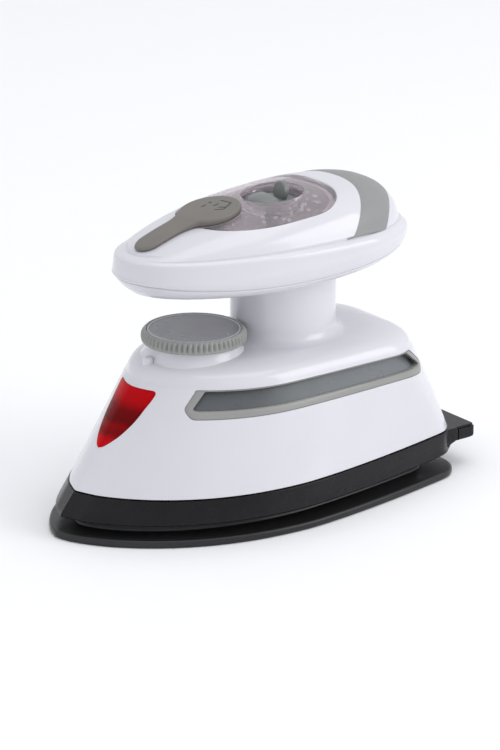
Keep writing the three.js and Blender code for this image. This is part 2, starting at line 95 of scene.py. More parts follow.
# ---- curves and outlines ----
def evenly(points, count):
    """The polyline resampled to count points at equal steps along its length."""
    steps = np.linalg.norm(np.diff(points, axis=0), axis=1)
    along = np.concatenate([[0], np.cumsum(steps)])
    wanted = np.linspace(0, along[-1], count)
    return np.column_stack([np.interp(wanted, along, axis) for axis in points.T])


def softened(ring, passes):
    """A closed ring with its corners rounded a little more by each pass."""
    for _ in range(passes):
        ring = ring / 2 + (np.roll(ring, 1, 0) + np.roll(ring, -1, 0)) / 4
    return ring


def smooth_rows(rows, steps):
    """Catmull-Rom rows through the given rows, with steps new rows for each gap."""
    rows = [np.asarray(r, float) for r in rows]
    padded = [2 * rows[0] - rows[1], *rows, 2 * rows[-1] - rows[-2]]
    result = []
    for a, b, c, d in zip(padded, padded[1:], padded[2:], padded[3:]):
        for t in np.arange(steps) / steps:
            result.append(0.5 * (2 * b + (c - a) * t + (2 * a - 5 * b + 4 * c - d) * t**2
                                 + (3 * b - a - 3 * c + d) * t**3))
    return result + [rows[-1]]


def at(outline, z):
    """The outline's first two columns with heights z."""
    return np.column_stack([outline[:, :2], np.broadcast_to(z, len(outline))])


def circle(r, count, y=0.0, x=0.0):
    a = np.arange(count) / count * 2 * math.pi
    return np.column_stack([x + r * np.sin(a), y - r * np.cos(a)])


def rounded(corners, radii, counts):
    """Closed outline of straight edges with rounded corners; counts gives the steps along each edge."""
    corners = [np.array(c, float) for c in corners]
    points = []
    for k, (corner, radius) in enumerate(zip(corners, radii)):
        before = corners[k - 1] - corner
        after = corners[(k + 1) % len(corners)] - corner
        a, b = before / np.linalg.norm(before), after / np.linalg.norm(after)
        start, end = corner + a * radius, corner + b * radius
        for t in np.linspace(0, 1, 9):
            points.append((1 - t) ** 2 * start + 2 * t * (1 - t) * corner + t * t * end)
        far = corners[(k + 1) % len(corners)] - b * radii[(k + 1) % len(corners)]
        for t in np.linspace(0, 1, counts[k] + 1)[1:-1]:
            points.append(end * (1 - t) + far * t)
    return np.array(points)


WIDEST = -1  # where along its length an iron outline is widest


def half_width(y, nose, rear, half, rise, corner):
    """Half width of an iron outline; rise runs from 0 at the foot to 1 at the top of the body."""
    s = np.clip((WIDEST - y) / (WIDEST - nose), 0, 1)
    fore = half * (1 - s ** (2.3 - 0.3 * rise)) ** (0.7 - 0.1 * rise)
    fore = np.minimum(fore, (2.6 + 5 * rise) * np.maximum(y - nose, 0))  # straight sides at the nose crease
    t = np.clip((y - WIDEST) / (rear - WIDEST), 0, 1)
    aft = half * (1 - (0.39 - 0.33 * rise) * t**1.4)
    e = np.clip((y - rear + corner) / corner, 0, 1)
    return np.where(y < WIDEST, fore, aft) - corner * (1 - np.sqrt(1 - e**2))


def iron_plan(nose, rear, half, rise, corner, soft=0):
    """Iron outline from the nose round the right side to the rear and back."""
    turn = rear - corner + corner * np.sin(np.linspace(0, math.pi / 2, 60))
    front = nose + (WIDEST - nose) * np.linspace(0, 1, 160) ** 2
    y = np.concatenate([front, np.linspace(WIDEST, turn[0], 80)[1:], turn[1:]])
    side = np.column_stack([half_width(y, nose, rear, half, rise, corner), y])
    right = evenly(np.vstack([side, (0, rear)]), RING // 2 + 1)
    return softened(np.vstack([right, right[-2:0:-1] * (-1, 1)]), soft)


def egg_plan(egg, inset=0.0, count=RING):
    """Egg outline from the front round the right side; inset moves it inward all round."""
    a = np.arange(count) / count * 2 * math.pi
    s, c = np.sin(a), -np.cos(a)
    front = c < 0
    reach = np.where(front, egg.wide - egg.front, egg.rear - egg.wide) - inset
    power = np.where(front, egg.fore, egg.aft)
    x = np.sign(s) * (egg.half - inset) * np.abs(s) ** power
    return np.column_stack([x, egg.wide + np.sign(c) * reach * np.abs(c) ** power])


def solve_inset(outside, shape, top):
    """By halving, the inset whose outline meets each point; outside(inset) marks the points beyond."""
    low, high = np.zeros(shape), np.full(shape, float(top))
    for _ in range(30):
        middle = (low + high) / 2
        beyond = outside(middle)
        high = np.where(beyond, middle, high)
        low = np.where(beyond, low, middle)
    return low


# ---- body form ----
def body_plan_sizes(z, inset):
    f = (np.minimum(z, BODY.edge) - BODY.low) / (BODY.high - BODY.low)
    return (BODY.nose + LEAN.nose * f + 1.1 * inset, BODY.rear - LEAN.rear * f - inset,
            BODY.half - LEAN.half * f - inset, f, 8 + 9 * f)


def body_ring(z, inset=0.0, height=None):
    return at(iron_plan(*body_plan_sizes(z, inset), soft=1), z if height is None else height)


def flank_x(y, z, inset=0.0):
    """Half width of the body at (y, z), measured inset inside its outer face."""
    sizes = body_plan_sizes(np.asarray(z, float), inset)
    return np.where((y < sizes[0]) | (y > sizes[1]), 0, half_width(y, *sizes))


ROLL = smooth_rows([(0, 47.2), (1, 50), (3.2, 52), (7, 53.3), (13, BODY.deck), (30, BODY.deck)], 12)
ROLL_INSET, ROLL_HEIGHT = np.array(ROLL).T


def deck_height(inset):
    return np.interp(inset, ROLL_INSET, ROLL_HEIGHT)


def deck_z(x, y):
    """Height of the deck and its rounded edge over (x, y)."""
    inset = solve_inset(lambda i: np.abs(x) > flank_x(y, BODY.edge, i), np.shape(x), 28)
    return deck_height(inset)


def neck_ring(grow, z):
    a = np.arange(RING) / RING * 2 * math.pi
    x = (NECK.half_x + grow) * np.sin(a)
    return at(np.column_stack([x, NECK.y - (NECK.half_y + grow) * np.cos(a)]), z)


# ---- handle form ----
def crest(y):
    """Height of the handle's top line."""
    return 103.2 - 14.5 * (np.maximum(0, 50 - y) / 98) ** 2.5


def pitch(y):
    """Tilt of the handle's lower lines, rising toward the rear."""
    return 0.043 * (y - 44)


def sag(y):
    return 5.5 * (np.abs(y - 15) / 62) ** 2 + pitch(y)


DOME_INSET = np.linspace(0, HANDLE.half, 581)
dome_run = np.clip((DOME_INSET - 2.8) / (HANDLE.half - 2.8), 0, 1)
dome_rise = (1 - (1 - dome_run) ** 4) ** 0.62
dome_rise = softened(np.concatenate([dome_rise, np.ones(200), np.zeros(200)])[:, None], 90)
DOME_RISE = dome_rise[:len(DOME_INSET), 0]


def handle_inset(x, y):
    front = y < HANDLE.wide
    reach = np.where(front, HANDLE.wide - HANDLE.front, HANDLE.rear - HANDLE.wide)
    power = 2 / np.where(front, HANDLE.fore, HANDLE.aft)

    def outside(i):
        side = (np.abs(x) / (HANDLE.half - i)) ** power
        return side + (np.abs(y - HANDLE.wide) / (reach - i)) ** power > 1

    return solve_inset(outside, np.shape(x), HANDLE.half - 0.01)


def dome_z(x, y, inset=None):
    """Height of the handle's dome over (x, y)."""
    inset = handle_inset(x, y) if inset is None else inset
    return HANDLE.ledge + (crest(y) - HANDLE.ledge) * np.interp(inset, DOME_INSET, DOME_RISE)


def on_dome(points, lift=0.0):
    return at(points, dome_z(points[:, 0], points[:, 1]) + lift)


def handle_ring(inset, height):
    ring = egg_plan(HANDLE, inset)
    return at(ring, height(ring[:, 1]) if callable(height) else height)


# ---- meshes ----
def skin(rows, wrap=False, caps=True):
    """Quads through rings of points. wrap joins the last ring to the first; caps close open ends."""
    rows = [np.asarray(r, float) for r in rows]
    n = len(rows[0])
    total = len(rows)
    faces = []
    for k in range(total if wrap else total - 1):
        a, b = k * n, (k + 1) % total * n
        faces += [(a + i, a + (i + 1) % n, b + (i + 1) % n, b + i) for i in range(n)]
    if caps and not wrap:
        faces.append(tuple(range(n - 1, -1, -1)))
        faces.append(tuple(range((total - 1) * n, total * n)))
    return np.vstack(rows), faces


def slab(front, back):
    """Closed sheet between two grids of points of the same shape (rows, columns, 3)."""
    rows, columns = front.shape[:2]
    size = rows * columns
    faces = []
    for r in range(rows - 1):
        for c in range(columns - 1):
            a = r * columns + c
            quad = (a, a + 1, a + columns + 1, a + columns)
            faces.append(quad)
            faces.append(tuple(i + size for i in reversed(quad)))
    edge = list(range(columns)) + [r * columns + columns - 1 for r in range(1, rows)]
    edge += [(rows - 1) * columns + c for c in range(columns - 2, -1, -1)]
    edge += [r * columns for r in range(rows - 2, 0, -1)]
    for a, b in zip(edge, edge[1:] + edge[:1]):
        faces.append((b, a, a + size, b + size))
    return np.vstack([front.reshape(-1, 3), back.reshape(-1, 3)]), faces


def lathe(profile, y, count=96, x=0.0, ring=False):
    """Turned solid about a vertical axis; profile gives (radius, z), all round its section for a ring."""
    return skin([at(circle(max(r, 0.01), count, y, x), z) for r, z in profile], ring)


def joined(*parts):
    """Several (points, faces) pairs as one."""
    points, faces, start = [], [], 0
    for part_points, part_faces in parts:
        points.append(part_points)
        faces += [tuple(i + start for i in face) for face in part_faces]
        start += len(part_points)
    return np.vstack(points), faces


def new_object(name, geometry):
    """A mesh object from (points, faces) in millimetres, with its faces turned outward."""
    points, faces = geometry
    mesh = bpy.data.meshes.new(name)
    mesh.from_pydata((np.asarray(points) * MM).tolist(), [], faces)
    bm = bmesh.new()
    bm.from_mesh(mesh)
    bmesh.ops.remove_doubles(bm, verts=bm.verts, dist=0.002 * MM)
    bmesh.ops.recalc_face_normals(bm, faces=bm.faces)
    bm.to_mesh(mesh)
    bm.free()
    obj = bpy.data.objects.new(name, mesh)
    bpy.context.scene.collection.objects.link(obj)
    return obj


def apply_modifiers(obj):
    depsgraph = bpy.context.evaluated_depsgraph_get()
    mesh = bpy.data.meshes.new_from_object(obj.evaluated_get(depsgraph))
    obj.modifiers.clear()
    obj.data = mesh


def carve(obj, geometry, operation="DIFFERENCE"):
    """Cuts geometry out of obj, or joins or intersects it."""
    tool = new_object("tool", geometry)
    modifier = obj.modifiers.new("carve", "BOOLEAN")
    modifier.operation = operation
    modifier.solver = "EXACT"
    modifier.object = tool
    apply_modifiers(obj)
    bpy.data.objects.remove(tool)


def settle(obj, material, body, replaced=(), sharp=35):
    """Shades the piece, gives it its finish, parents it to the body it rides on and hides the CAD parts it
    stands for.
    """
    mesh = obj.data
    mesh.materials.clear()
    mesh.materials.append(material)
    for polygon in mesh.polygons:
        polygon.material_index = 0
    mesh.shade_smooth()
    mesh.set_sharp_from_angle(angle=math.radians(sharp))
    modifier = obj.modifiers.new("normals", "WEIGHTED_NORMAL")
    modifier.keep_sharp = True
    modifier.weight = 60
    apply_modifiers(obj)
    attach(obj, body)
    if replaced:
        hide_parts(*replaced)
    return obj


def add(name, geometry, material, body, replaced=(), sharp=35):
    return settle(new_object(name, geometry), material, body, replaced, sharp)


# ---- finishes ----
def finish(name, colour, rough, mottle=0.03, grain=1100, bump=0.05, spread=0.05, streak=(1, 1, 1),
           **sockets):
    """Principled plastic, metal or rubber: mottled colour, uneven gloss and a moulded micro-texture."""
    material = bpy.data.materials.new(name)
    material.use_nodes = True
    nodes, links = material.node_tree.nodes, material.node_tree.links
    shader = nodes["Principled BSDF"]
    for socket, value in sockets.items():
        shader.inputs[socket.replace("_", " ")].default_value = value
    place = nodes.new("ShaderNodeTexCoord")
    stretch = nodes.new("ShaderNodeMapping")
    stretch.inputs["Scale"].default_value = streak
    links.new(place.outputs["Object"], stretch.inputs["Vector"])

    def noise(scale, detail):
        node = nodes.new("ShaderNodeTexNoise")
        node.inputs["Scale"].default_value = scale
        node.inputs["Detail"].default_value = detail
        links.new(stretch.outputs["Vector"], node.inputs["Vector"])
        return node.outputs["Fac"]

    ramp = nodes.new("ShaderNodeValToRGB")
    for element, position, share in zip(ramp.color_ramp.elements, (0.3, 0.7), (1 - mottle, 1 + mottle)):
        element.position = position
        element.color = (*(min(1, c * share) for c in colour), 1)
    links.new(noise(60, 4), ramp.inputs["Fac"])
    links.new(ramp.outputs["Color"], shader.inputs["Base Color"])

    gloss = nodes.new("ShaderNodeMapRange")
    gloss.inputs["From Min"].default_value = 0.3
    gloss.inputs["From Max"].default_value = 0.7
    gloss.inputs["To Min"].default_value = max(0.02, rough - spread)
    gloss.inputs["To Max"].default_value = rough + spread
    links.new(noise(240, 5), gloss.inputs["Value"])
    links.new(gloss.outputs["Result"], shader.inputs["Roughness"])

    relief = nodes.new("ShaderNodeBump")
    relief.inputs["Strength"].default_value = bump
    relief.inputs["Distance"].default_value = 0.0002
    links.new(noise(grain, 3), relief.inputs["Height"])
    links.new(relief.outputs["Normal"], shader.inputs["Normal"])
    return material


def clear(name, colour, shadow, rough=0.05, **options):
    """Tinted clear plastic that lets lamp light through."""
    sockets = {"Transmission_Weight": 1.0, "IOR": 1.2, **options}
    material = finish(name, colour, rough, mottle=0.02, bump=0.02, spread=0.02, **sockets)
    nodes, links = material.node_tree.nodes, material.node_tree.links
    path = nodes.new("ShaderNodeLightPath")
    passing = nodes.new("ShaderNodeBsdfTransparent")
    passing.inputs["Color"].default_value = (*shadow, 1)
    mix = nodes.new("ShaderNodeMixShader")
    links.new(path.outputs["Is Shadow Ray"], mix.inputs["Fac"])
    links.new(nodes["Principled BSDF"].outputs["BSDF"], mix.inputs[1])
    links.new(passing.outputs["BSDF"], mix.inputs[2])
    links.new(mix.outputs["Shader"], nodes["Material Output"].inputs["Surface"])
    return material


def paint_light_bands(material, axis, stops):
    """Paints light and shade into the material's colour as wavering bands along an object axis; stops give
    (metres, brightness).
    """
    nodes, links = material.node_tree.nodes, material.node_tree.links
    place = nodes.new("ShaderNodeTexCoord")
    split = nodes.new("ShaderNodeSeparateXYZ")
    waver = nodes.new("ShaderNodeTexNoise")
    waver.inputs["Scale"].default_value = 160
    extent = nodes.new("ShaderNodeMapRange")
    extent.inputs["From Min"].default_value = stops[0][0]
    extent.inputs["From Max"].default_value = stops[-1][0]
    sway = nodes.new("ShaderNodeMath")
    sway.operation = "MULTIPLY_ADD"
    sway.inputs[1].default_value = 0.16
    ramp = nodes.new("ShaderNodeValToRGB")
    reach = stops[-1][0] - stops[0][0]
    while len(ramp.color_ramp.elements) < len(stops):
        ramp.color_ramp.elements.new(0.5)
    for element, (place_at, tone) in zip(ramp.color_ramp.elements, stops):
        element.position = (place_at - stops[0][0]) / reach
        element.color = (tone, tone, tone, 1)
    painted_light_mix = nodes.new("ShaderNodeMix")
    painted_light_mix.data_type = "RGBA"
    painted_light_mix.blend_type = "MULTIPLY"
    painted_light_mix.inputs["Factor"].default_value = 1
    shader = nodes["Principled BSDF"].inputs["Base Color"]
    links.new(place.outputs["Object"], split.inputs["Vector"])
    links.new(place.outputs["Object"], waver.inputs["Vector"])
    links.new(split.outputs[axis], extent.inputs["Value"])
    links.new(waver.outputs["Fac"], sway.inputs[0])
    links.new(extent.outputs["Result"], sway.inputs[2])
    links.new(sway.outputs["Value"], ramp.inputs["Fac"])
    links.new(shader.links[0].from_socket, painted_light_mix.inputs["A"])
    links.new(ramp.outputs["Color"], painted_light_mix.inputs["B"])
    links.new(painted_light_mix.outputs["Result"], shader)


WHITE = finish("white_gloss", (0.675, 0.668, 0.708), 0.2, mottle=0.012, bump=0.035, Coat_Weight=0.25,
               Coat_Roughness=0.06)
BLACK = finish("black_gloss", (0.008, 0.0075, 0.009), 0.26, mottle=0.25, bump=0.06, Specular_IOR_Level=0.22)
SOLE_ALLOY = finish("sole_alloy", (0.022, 0.022, 0.023), 0.32, mottle=0.2, grain=1500, bump=0.1,
                    streak=(1, 0.08, 1), Metallic=0.35)
TRIM_GREY = finish("trim_grey", (0.29, 0.29, 0.276), 0.36, mottle=0.04, grain=2600, bump=0.12)
STRIP_GREY_AND_SHEEN = finish("strip_tint_and_painted_sheen", (0.115, 0.124, 0.13), 0.3, mottle=0.05, bump=0.03, Specular_IOR_Level=0.3)
DIAL_GREY = finish("dial_grey", (0.3, 0.305, 0.29), 0.42, mottle=0.05, grain=2600, bump=0.15)
FACE_GREY = finish("dial_face_grey", (0.245, 0.245, 0.257), 0.38, mottle=0.03, grain=3000, bump=0.1)
RING_SILVER = finish("ring_silver", (0.6, 0.61, 0.63), 0.3, mottle=0.03)
ACCENT_GREY = finish("accent_grey", (0.27, 0.275, 0.27), 0.42, mottle=0.03, grain=2200, bump=0.08,
                     Specular_IOR_Level=0.35)
TAUPE = finish("taupe_rubber", (0.175, 0.163, 0.145), 0.52, mottle=0.06, grain=2400, bump=0.2)
TAUPE_SHADOW = finish("taupe_shadow", (0.045, 0.04, 0.035), 0.7, mottle=0.1, grain=2400, bump=0.2)
KNOB_GREY = finish("knob_grey", (0.185, 0.195, 0.19), 0.36, mottle=0.05, grain=2400, bump=0.12)
RUBBER = finish("black_rubber", (0.02, 0.02, 0.021), 0.6, mottle=0.2, grain=2200, bump=0.3)
STEEL = finish("plated_steel", (0.62, 0.63, 0.65), 0.28, mottle=0.06, grain=1800, bump=0.1, Metallic=1.0)
SHEATH = finish("element_sheath", (0.3, 0.3, 0.31), 0.42, mottle=0.12, grain=1500, bump=0.2, Metallic=0.9)
COVER = finish("cover_alloy", (0.55, 0.56, 0.57), 0.4, mottle=0.08, grain=1500, bump=0.15, Metallic=0.9)
GASKET = finish("red_gasket", (0.42, 0.075, 0.035), 0.62, mottle=0.08, grain=1800, bump=0.2)
BIMETAL = finish("thermostat_metal", (0.55, 0.42, 0.26), 0.42, mottle=0.1, grain=1500, bump=0.15,
                 Metallic=0.5)
CERAMIC = finish("ceramic_white", (0.72, 0.68, 0.58), 0.55, mottle=0.05, grain=1600, bump=0.2)
BRASS = finish("brass_needle", (0.62, 0.48, 0.22), 0.28, mottle=0.08, grain=1500, bump=0.1, Metallic=1.0)
TUBE = finish("silicone_tube", (0.68, 0.66, 0.6), 0.4, mottle=0.04, grain=1600, bump=0.1)
COLLAR = finish("collar_grey", (0.19, 0.18, 0.18), 0.3, mottle=0.05, grain=1800, bump=0.08)
MARK = finish("pale_mark", (0.42, 0.42, 0.44), 0.4, mottle=0.04)
SMOKE = clear("smoke_window", (0.84, 0.785, 0.81), (0.8, 0.75, 0.77), Transmission_Weight=0.87)
TANK = clear("tank_clear", (0.8, 0.78, 0.8), (0.85, 0.84, 0.86), rough=0.2, Transmission_Weight=0.5)
SEAT = clear("seat_clear", (0.9, 0.9, 0.93), (0.88, 0.88, 0.9), rough=0.07)
LAMP = clear("lamp_glass", (0.9, 0.72, 0.55), (0.9, 0.7, 0.5))
RED_LENS_PAINTED_LIGHT = clear("red_lens", (0.74, 0.0005, 0.006), (0.8, 0.1, 0.1), rough=0.1, Transmission_Weight=0.5,
            Specular_IOR_Level=0.12)
DROPS = clear("droplets", (0.97, 0.97, 1.0), (0.95, 0.95, 0.97), rough=0.02, IOR=1.5)
# Painted reflection: the strip pane's grey brightens in bands toward its rear.
paint_light_bands(STRIP_GREY_AND_SHEEN, "Y", ((-0.04, 0.85), (0, 0.95), (0.03, 1.3), (0.058, 1.6)))
# Painted shade and highlight: the red lens is darker in bands across its middle and lighter toward its top
# and bottom.
paint_light_bands(RED_LENS_PAINTED_LIGHT, "Z", ((0.027, 1.15), (0.0315, 1.1), (0.0335, 0.42), (0.036, 0.6), (0.0375, 0.3), (0.041, 0.42),
                  (0.0435, 1.0), (0.047, 1.15)))


# ---- base ----
def sole_ring(inset, z):
    return at(iron_plan(SOLE.nose + inset, SOLE.rear - inset, SOLE.half - inset, 0.2, SOLE.corner, 2), z)


def skirt_ring(nose, rear, side, z):
    return at(iron_plan(SKIRT.nose + nose, SKIRT.rear - rear, SKIRT.half - side, 0, SKIRT.corner), z)


rim, block = SOLE.rim, SOLE.block
sole = new_object("sole_plate", skin([sole_ring(inset, z) for inset, z in (
    (3, 0), (1.1, 0), (0.55, 0.08), (0.2, 0.3), (0.04, 0.62), (0, 1.1), (0, 1.7), (0.08, rim - 0.5),
    (0.35, rim - 0.18), (0.9, rim), (8.2, rim), (9, rim + 0.3), (9.4, rim + 1), (9.4, block - 0.3),
    (9.7, block), (12.7, block), (13, block - 0.4), (13, rim))]))
chamber = Dims(front=-38, rear=40, half=12, wide=10, fore=0.95, aft=0.86)
wall_outer, wall_inner = egg_plan(chamber, -2.6, 120), egg_plan(chamber, 0, 120)
chamber_wall = [at(wall_outer, 2), at(wall_outer, 9.6), at(wall_inner, 9.6), at(wall_inner, 2)]
carve(sole, skin(chamber_wall, wrap=True), "UNION")
for x, y in SCREWS:
    carve(sole, lathe([(3.2, 2), (3.2, 11.5), (2.9, 11.8)], y, 40, x), "UNION")
ports = []
for i in range(7):
    spread = 3 + 5 * math.sin(math.pi * (i + 0.6) / 7)
    for side in (1, -1):
        ports.append(lathe([(2.0, -0.4), (1.3, 0.5), (1.3, 4)], -30 + 10 * i, 32, side * spread))
for x, y in SCREWS:
    ports.append(lathe([(1.9, 4.5), (1.9, 13)], y, 32, x))
carve(sole, joined(*ports))
settle(sole, SOLE_ALLOY, "iron", ["soleplate"])

skirt = new_object("lower_skirt", skin([
    skirt_ring(0.9, 0.9, 0.9, SKIRT.low), skirt_ring(0.35, 0.3, 0.3, SKIRT.low + 0.12),
    skirt_ring(0.05, 0.05, 0.05, SKIRT.low + 0.45), skirt_ring(0.1, 0.02, 0.02, SKIRT.low + 0.9),
    skirt_ring(0.6, 0.4, 0.4, SKIRT.low + 1.8),
    *(skirt_ring(0.6 + 4.3 * f, 0.4 - f, 0.4 + f, SKIRT.low + 1.8 + (SKIRT.high - SKIRT.low - 2.1) * f)
      for f in (0.25, 0.5, 0.75, 1)),
    skirt_ring(5.05, -0.55, 1.52, SKIRT.high - 0.1), skirt_ring(5.4, -0.3, 1.8, SKIRT.high),
    skirt_ring(20, 21, 14, SKIRT.high), skirt_ring(20, 21, 14, 12.2), skirt_ring(7, 4, 4, 12.2),
    skirt_ring(7, 4, 4, SKIRT.low + 0.4), skirt_ring(6, 3.4, 3.4, SKIRT.low)], wrap=True))


def tongue(root, root_half, rear, rear_half, rows):
    """Block pointing rearward with rounded rear corners; rows give (side inset, rear inset, z) upward."""
    rings = []
    for side, back, z in rows:
        a, b = root_half - side, rear_half - side
        corners = [(-a, root), (a, root), (b, rear - back), (-b, rear - back)]
        rings.append(at(rounded(corners, [0.3, 0.3, 1.5, 1.5], [24, 12, 24, 12]), z))
    return skin(rings)


top = SKIRT.high
carve(skirt, tongue(HEEL.root, HEEL.half, HEEL.crease, HEEL.half - 0.7, (
    (1.0, 3.2, SKIRT.low + 0.15), (0.7, 2.8, SKIRT.low + 0.45), (0.5, 2.4, 8.3), (0.35, 1.9, 8.8),
    (0.2, 0.5, 9.4), (0.05, 0.1, 9.9), (0, 0, 10.4), (0, 0, top - 0.5), (0.12, 0.12, top - 0.15),
    (0.5, 0.5, top))), "UNION")
carve(skirt, tongue(HEEL.crease - 3, HEEL.half - 0.62, HEEL.rear, HEEL.tip_half, (
    (1.3, 1.3, 9.3), (0.6, 0.6, 9.42), (0.15, 0.15, 9.8), (0, 0, 10.4), (0, 0, top - 1.05),
    (0.12, 0.12, top - 0.9), (0.75, 0.75, top - 0.85), (0.75, 0.75, top - 0.6), (0.3, 0.3, top - 0.55),
    (0.35, 0.35, top - 0.2), (0.7, 0.7, top))), "UNION")
for side in (1, -1):
    slit = np.array([(side * x, HEEL.crease + y) for x, y in (
        (22.5, -0.2), (26, -0.2), (26, 0.25), (22.5, 0.25))])
    carve(skirt, skin([at(slit, 8), at(slit, top - 0.9)]))
carve(skirt, joined(*(lathe([(2.2, 11), (2.2, 16)], y, 32, x) for x, y in SCREWS)))
settle(skirt, BLACK, "iron", ["heat_skirt"], sharp=28)


# ---- body cover ----
def body_rows(wall, neck_wall):
    """Rings of the body's face from its foot to the top of the neck, wall inside the outer face."""
    foot = [(BODY.low, 0.45), (BODY.low + 0.14, 0.13), (BODY.low + 0.5, 0)] if not wall else [(BODY.low, 0)]
    rows = [body_ring(z, wall + inset) for z, inset in foot]
    rows += [body_ring(z, wall) for z in np.linspace(17, 46.5 - wall, 12)]
    for inset in (0.12, 0.3, 0.55, 0.85, 1.2, 1.6, 2.1, 2.7, 3.4, 4.2, 5.2, 6.2, 7.0):
        rows.append(body_ring(BODY.edge, wall + inset, deck_height(inset) - wall))
    foot_of_neck = neck_ring(NECK.fillet - neck_wall, 0)
    base = deck_z(foot_of_neck[:, 0], foot_of_neck[:, 1])
    last = body_ring(BODY.edge, 7.0 + wall)
    for s in np.linspace(0, 1, 15)[1:-1]:
        ring = last * (1 - s) + foot_of_neck * s
        z = deck_z(ring[:, 0], ring[:, 1]) if not wall else 53.3 + (base - 53.3) * s
        rows.append(at(ring, z - wall))
    for a in np.linspace(0, math.pi / 2, 9):
        grow = NECK.fillet * (1 - math.sin(a)) - neck_wall
        rows.append(neck_ring(grow, base - wall + (NECK.fillet + 1) * (1 - math.cos(a))))
    rows += [neck_ring(-neck_wall, z) for z in (62, 66, 70, NECK.top)]
    return rows


body = new_object("body_cover", skin(body_rows(0, 0) + body_rows(BODY.wall, NECK.wall)[::-1], wrap=True))
boss_profile = [
    (0, 52), (BOSS.foot + 1.9, 52), (BOSS.foot + 1.2, 52.7), (BOSS.foot + 0.7, 53.25),
    (BOSS.foot + 0.3, 53.75), (BOSS.foot, 54.2), (BOSS.r + 0.6, 54.75), (BOSS.r + 0.3, 55.3),
    (BOSS.r, 56.2), (BOSS.r - 0.1, BOSS.top - 0.15), (BOSS.r - 0.35, BOSS.top), (0, BOSS.top)]
carve(body, lathe(boss_profile, DIAL.y, 160), "UNION")
nub_profile = [
    (0, 49.6), (NUB.r + 0.2, 49.6), (NUB.r + 0.05, 52.6), (NUB.r, NUB.top - 0.5),
    (NUB.r - 0.15, NUB.top - 0.2), (NUB.r - 0.5, NUB.top), (0, NUB.top + 0.05)]
carve(body, lathe(nub_profile, NUB.y, 40), "UNION")
carve(body, lathe([(4, 40), (4, 60)], DIAL.y, 48))


def strip_outline(inset):
    """Side strip's outline (y, z), drawn in by inset at its ends and foot."""
    top = STRIP.high - min(inset, 0.3)
    corners = [(STRIP.front + 1.2 + inset, STRIP.low + inset),
               (STRIP.rear - 1.5 - inset, STRIP.low + inset),
               (STRIP.rear - inset, STRIP.low + 3), (STRIP.rear - 7 - inset, top),
               (STRIP.front + 4.7 + inset, top), (STRIP.front + inset, STRIP.low + 3)]
    slack = 0.25 * inset
    radii = [1.4 - slack, 1.4 - slack, 1.4 - slack, 0.6, 0.6, 1.4 - slack]
    return rounded(corners, radii, [90, 3, 12, 80, 12, 3])


def strip_ring(inset, depth, side=1):
    """The strip's outline laid on the flank, depth inside the body's outer face."""
    outline = strip_outline(inset)
    x = flank_x(outline[:, 0], outline[:, 1], depth)
    return np.column_stack([side * x, outline])


opening = strip_outline(0)
carve(body, skin([np.column_stack([np.full(len(opening), x), opening]) for x in (-60.0, 60.0)]))


def lens_outline(inset):
    """Shield outline on the nose (x, z): level brow, rounded corners, bowed sides and a rounded point."""
    side = smooth_rows([(LENS.half, LENS.top - 1.2), (9.7, 43.2), (9.0, 40.6), (7.8, 36.2), (5.4, 31.7),
                        (2.2, 28.4), (0, LENS.low)], 8)
    corner = [(0, LENS.top), (LENS.half - 1.3, LENS.top), (LENS.half - 0.6, LENS.top - 0.15),
              (LENS.half - 0.15, LENS.top - 0.6)]
    half = evenly(np.vstack([corner, side]), 70)
    ring = np.vstack([half, half[-2:0:-1] * (-1, 1)])
    return (ring - (0, LENS.middle)) * (1 - inset / 9.2) + (0, LENS.middle)


def nose_cutter(inset):
    x, z = lens_outline(inset).T
    return skin([np.column_stack([x, np.full(len(x), y), z]) for y in (-20.0, -80.0)])


carve(body, nose_cutter(0))
gland_lean = math.atan(LEAN.rear / (BODY.high - BODY.low))
gland_y = BODY.rear - math.tan(gland_lean) * (CORD.z - BODY.low)
GLAND_FRAME = Matrix.Translation((0, gland_y, CORD.z)) @ Matrix.Rotation(gland_lean - math.pi / 2, 4, "X")


def on_rear_wall(geometry):
    points, faces = geometry
    turned = np.hstack([points, np.ones((len(points), 1))]) @ np.array(GLAND_FRAME).T
    return turned[:, :3], faces


carve(body, on_rear_wall(lathe([(4.6, -8), (4.6, 8)], 0, 64)))
settle(body, WHITE, "iron", ["body_shell"])

# ---- side strips ----
TRIM_PROFILE = (  # inset from the opening, depth inside the flank
    (0.12, 0.6), (0.12, 0.12), (0.3, -0.08), (0.8, -0.16), (1.6, -0.16), (2.15, -0.04), (2.42, 0.3),
    (STRIP.band, 0.8), (STRIP.band, STRIP.depth), (1.5, STRIP.depth), (0.12, 2.4))
for side, label in ((1, "right"), (-1, "left")):
    trim_rings = [strip_ring(inset, depth, side) for inset, depth in TRIM_PROFILE]
    add(f"strip_frame_{label}", skin(trim_rings, wrap=True), TRIM_GREY, "iron",
        [f"side_trim_{label}"])
    low, high = STRIP.low + 2.55, STRIP.high - 0.32
    faces = []
    for thickness in (0, 1.2):
        grid = []
        for v in np.linspace(0, 1, 14):
            z = low + (high - low) * v
            lift = max(0, (STRIP.low + 3 - z) / 3)
            slope = max(0, (z - STRIP.low - 3) / (STRIP.high - STRIP.low - 3))
            front = STRIP.front + 2.55 + 4.7 * slope + 1.2 * lift
            rear = STRIP.rear - 2.55 - 7 * slope - 1.5 * lift
            y = np.linspace(front, rear, 130)
            tail = np.clip((y - STRIP.rear + 20) / 16, 0, 1)
            depth = 0.9 + 1.5 * v + tail**2 + thickness
            grid.append(np.column_stack([side * flank_x(y, z, depth), y, np.full(130, z)]))
        faces.append(np.array(grid))
    add(f"strip_pane_{label}", slab(*faces), STRIP_GREY_AND_SHEEN, "iron", [f"side_window_{label}"])

